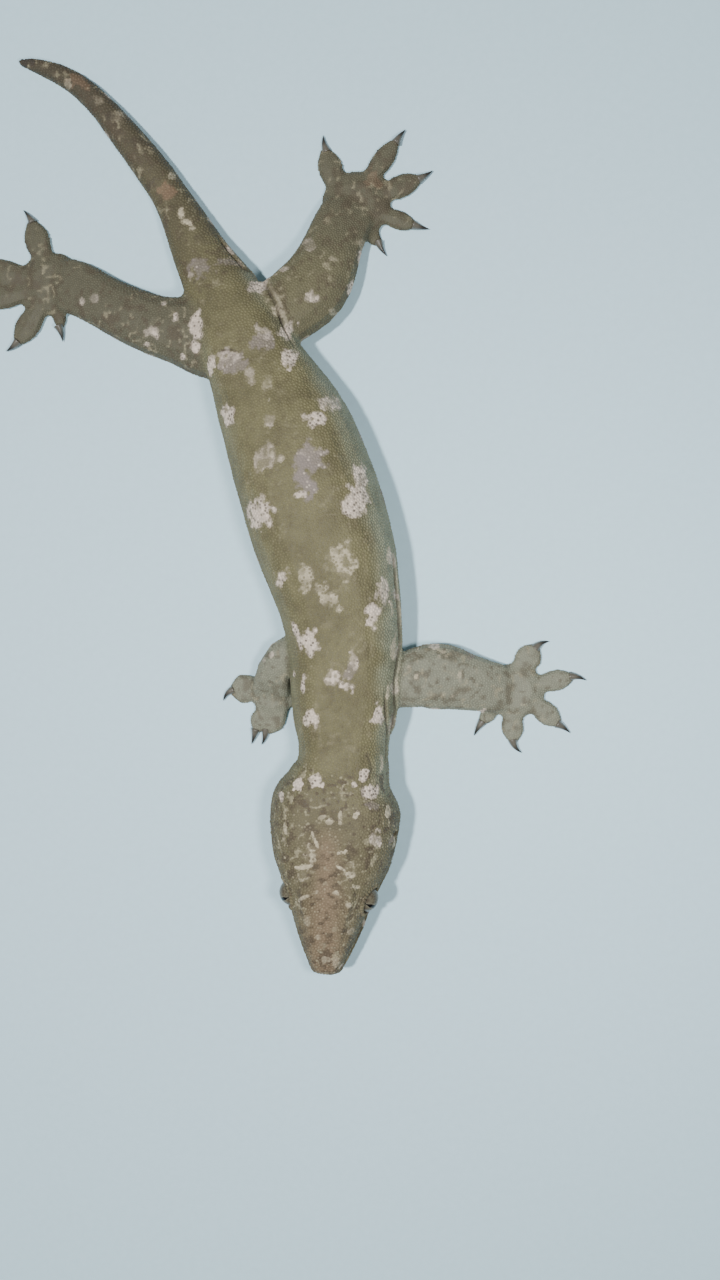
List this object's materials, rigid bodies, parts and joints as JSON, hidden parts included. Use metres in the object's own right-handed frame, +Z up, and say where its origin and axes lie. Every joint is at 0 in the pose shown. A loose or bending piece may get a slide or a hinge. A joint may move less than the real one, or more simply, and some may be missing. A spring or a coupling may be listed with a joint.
{
  "type": "new caledonian giant gecko",
  "caption": "Still, life-size model of a New Caledonian giant gecko clinging flat, its toes spread and its tail swung aside.",
  "frame": {"origin": "on the floor under the flat of the belly, at the middle of the trunk", "axes": "+Z up from the floor, +Y towards the tail, -Y towards the head, +X towards the animal's left side"},
  "size_m": [0.2045, 0.299, 0.03],
  "materials": {
    "back_skin": "olive khaki granular skin with pale pink blotches, dull",
    "head_skin": "warm brown granular skin with pale flecks, dull",
    "tail_skin": "brown granular skin with dark mottling, dull",
    "limb_skin": "grey brown granular skin, dull",
    "foot_skin": "grey brown skin, broad pads with soft cross ridges below",
    "claw": "dark grey horn, slightly glossy",
    "eye": "wet glossy eye, mottled olive iris with a dark upright pupil"
  },
  "bodies": {
    "root": {"head": "head_skin", "left_eye": "eye", "left_foot": "foot_skin", "left_foot_fifth_claw": "claw", "left_foot_first_claw": "claw", "left_foot_fourth_claw": "claw", "left_foot_second_claw": "claw", "left_foot_third_claw": "claw", "left_forearm": "limb_skin", "left_hand": "foot_skin", "left_hand_fifth_claw": "claw", "left_hand_first_claw": "claw", "left_hand_fourth_claw": "claw", "left_hand_second_claw": "claw", "left_hand_third_claw": "claw", "left_shank": "limb_skin", "left_thigh": "limb_skin", "left_upper_arm": "limb_skin", "neck": "back_skin", "right_eye": "eye", "right_foot": "foot_skin", "right_foot_fifth_claw": "claw", "right_foot_first_claw": "claw", "right_foot_fourth_claw": "claw", "right_foot_second_claw": "claw", "right_foot_third_claw": "claw", "right_forearm": "limb_skin", "right_hand": "foot_skin", "right_hand_fifth_claw": "claw", "right_hand_first_claw": "claw", "right_hand_fourth_claw": "claw", "right_hand_second_claw": "claw", "right_hand_third_claw": "claw", "right_shank": "limb_skin", "right_thigh": "limb_skin", "right_upper_arm": "limb_skin", "tail_base": "tail_skin", "tail_middle": "tail_skin", "tail_tip": "tail_skin", "torso": "back_skin"}
  },
  "joints": []
}
